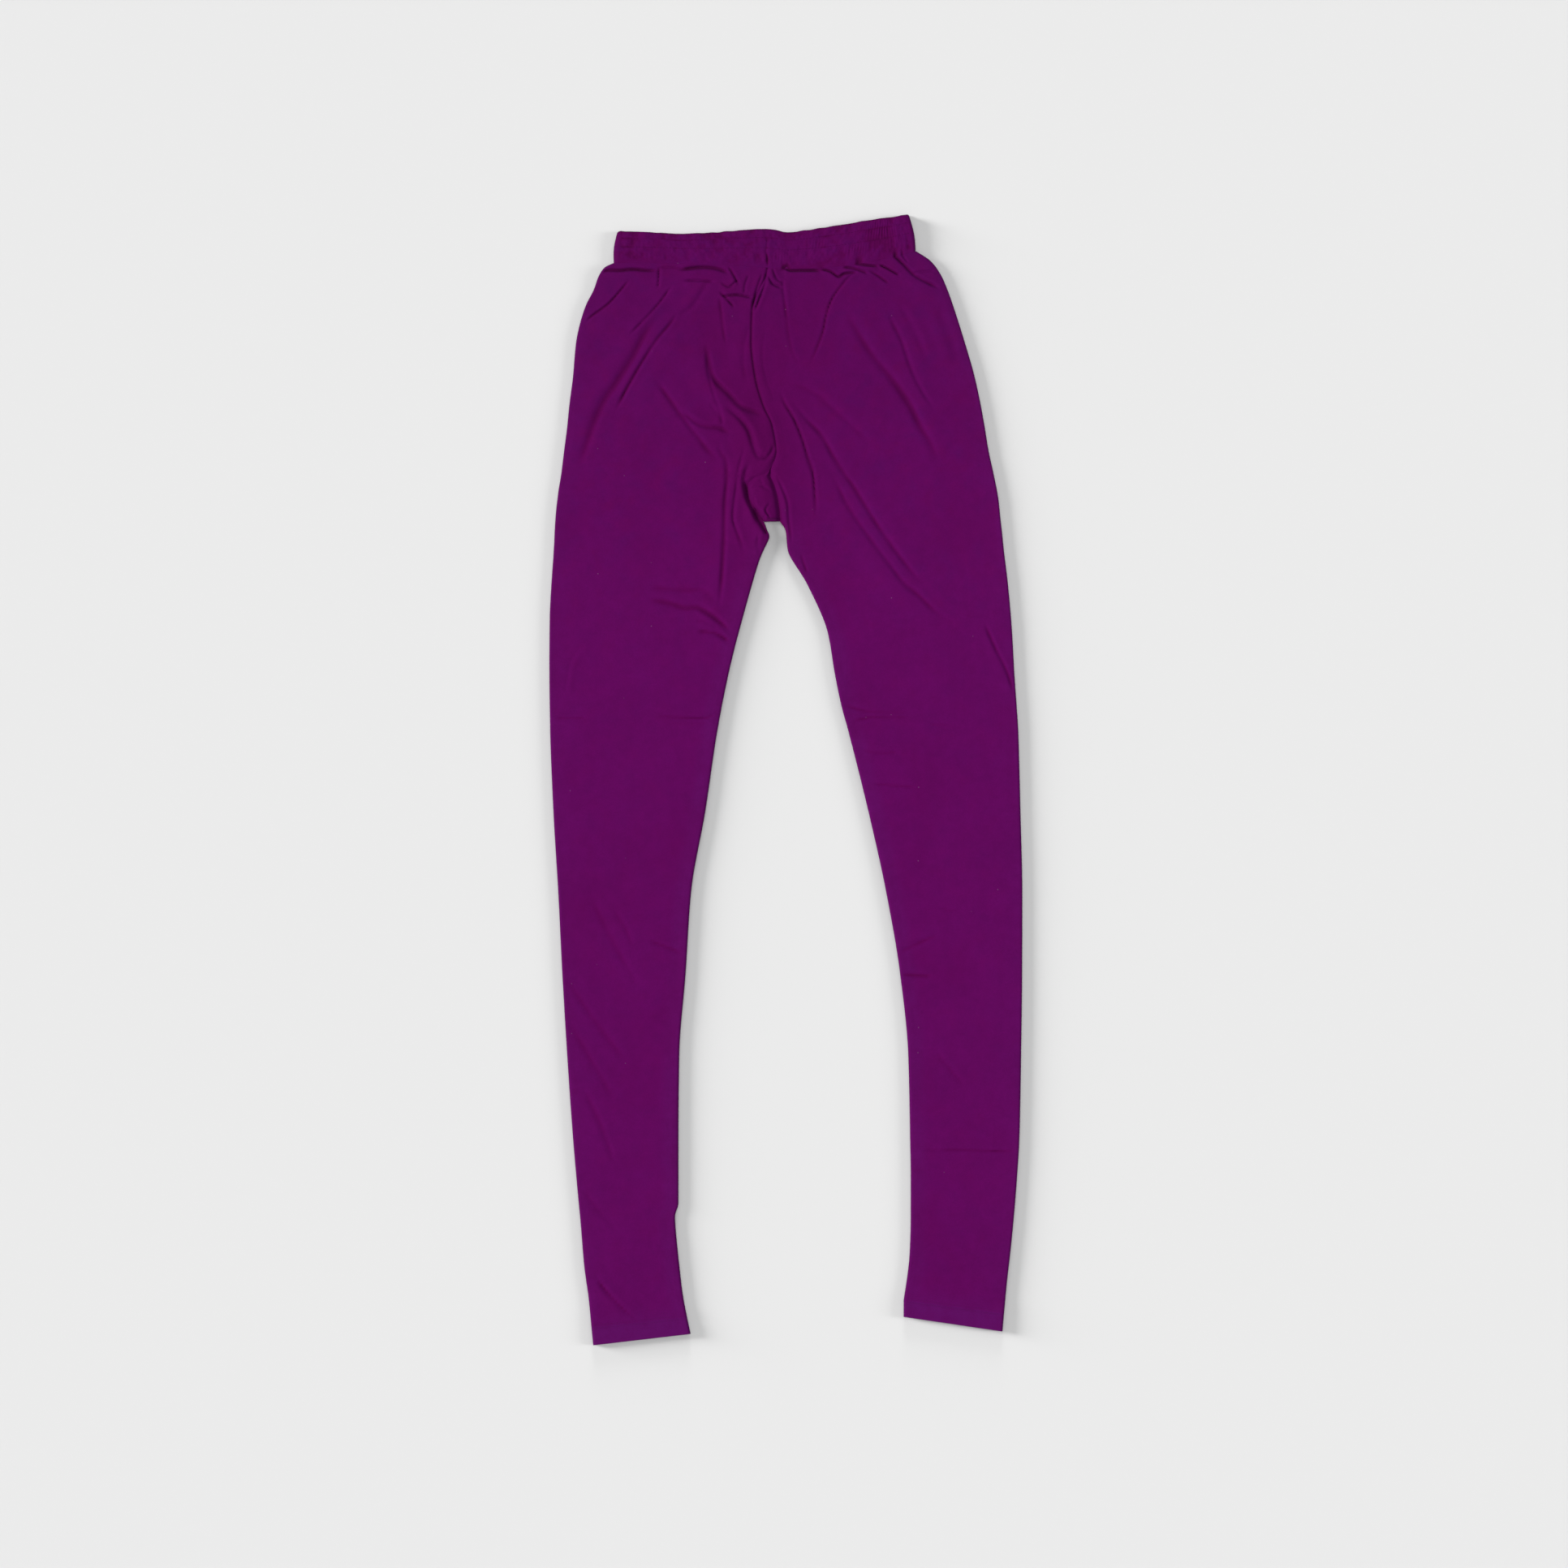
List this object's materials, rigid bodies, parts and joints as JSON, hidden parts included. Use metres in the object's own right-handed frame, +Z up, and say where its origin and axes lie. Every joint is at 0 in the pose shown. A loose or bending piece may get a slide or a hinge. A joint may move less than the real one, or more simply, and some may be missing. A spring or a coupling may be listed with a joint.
{
  "type": "churidar pants",
  "caption": "Plum knit churidar pants laid flat, front up, with a gathered elastic waistband, long close legs and a small crotch gusset.",
  "frame": {"origin": "on the surface that the back lies on, under the middle of the whole garment's bounding box", "axes": "+Z up from the surface through the back and then the front layer, +Y from the hems to the waistband, +X to the wearer's left leg"},
  "size_m": [0.466, 1.1128, 0.0076],
  "materials": {
    "panel_knit": "fine matte jersey with a faint violet sheen",
    "waistband_knit": "the same jersey, gathered over elastic"
  },
  "bodies": {
    "root": {"leg_right": "panel_knit", "leg_left": "panel_knit", "gusset": "panel_knit", "waistband": "waistband_knit"}
  },
  "joints": []
}
